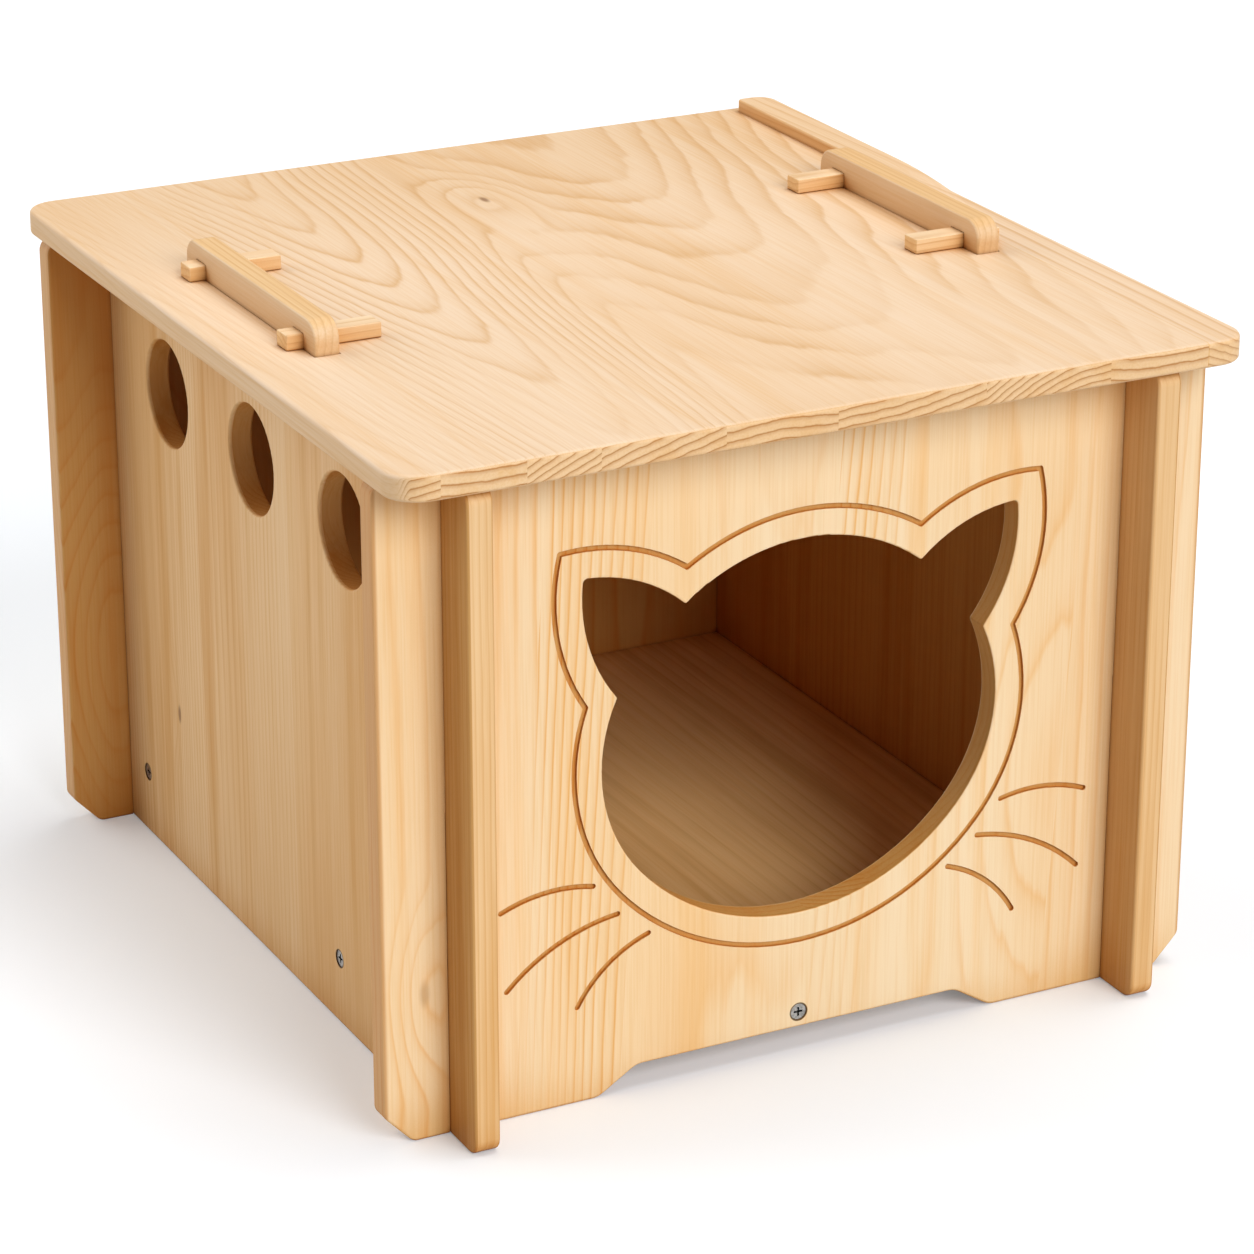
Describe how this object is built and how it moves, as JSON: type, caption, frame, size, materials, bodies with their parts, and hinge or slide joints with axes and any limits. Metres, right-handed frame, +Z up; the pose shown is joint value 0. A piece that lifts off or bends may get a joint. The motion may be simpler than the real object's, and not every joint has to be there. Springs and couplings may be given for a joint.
{
  "type": "cat house",
  "caption": "Cat house of slotted pine boards with a cat's-head entrance, round side vents, a raised floor and a flat lid locked over tenons by sliding keys.",
  "frame": {"origin": "centre of the overall footprint, on the ground under the house", "axes": "+X to the right seen from the entrance, +Y from the entrance to the rear, +Z up"},
  "size_m": [0.52, 0.555, 0.419],
  "materials": {
    "front_pine": "satin",
    "back_pine": "satin",
    "side_pine": "satin",
    "lid_pine": "satin",
    "floor_pine": "satin",
    "cleat_pine": "satin",
    "stave_pine": "satin",
    "key_pine": "satin",
    "screw_steel": "satin"
  },
  "bodies": {
    "house": {"front_panel": "front_pine", "back_panel": "back_pine", "left_side_panel": "side_pine", "right_side_panel": "side_pine", "floor_panel": "floor_pine", "front_floor_cleat": "cleat_pine", "rear_floor_cleat": "cleat_pine", "lid_panel": "lid_pine", "lid_edge_stave": "stave_pine", "left_floor_screws": "screw_steel", "right_floor_screws": "screw_steel", "front_cleat_screw": "screw_steel", "rear_cleat_screw": "screw_steel"},
    "left_front_key": {"left_front_key": "key_pine"},
    "left_rear_key": {"left_rear_key": "key_pine"},
    "right_front_key": {"right_front_key": "key_pine"},
    "right_rear_key": {"right_rear_key": "key_pine"}
  },
  "joints": [
    {"name": "left_front_key_slide", "type": "slide", "parent": "house", "child": "left_front_key", "axis": [1, 0, 0], "range_m": [0, 0.026]},
    {"name": "left_rear_key_slide", "type": "slide", "parent": "house", "child": "left_rear_key", "axis": [1, 0, 0], "range_m": [0, 0.026]},
    {"name": "right_front_key_slide", "type": "slide", "parent": "house", "child": "right_front_key", "axis": [-1, 0, 0], "range_m": [0, 0.026]},
    {"name": "right_rear_key_slide", "type": "slide", "parent": "house", "child": "right_rear_key", "axis": [-1, 0, 0], "range_m": [0, 0.026]}
  ]
}
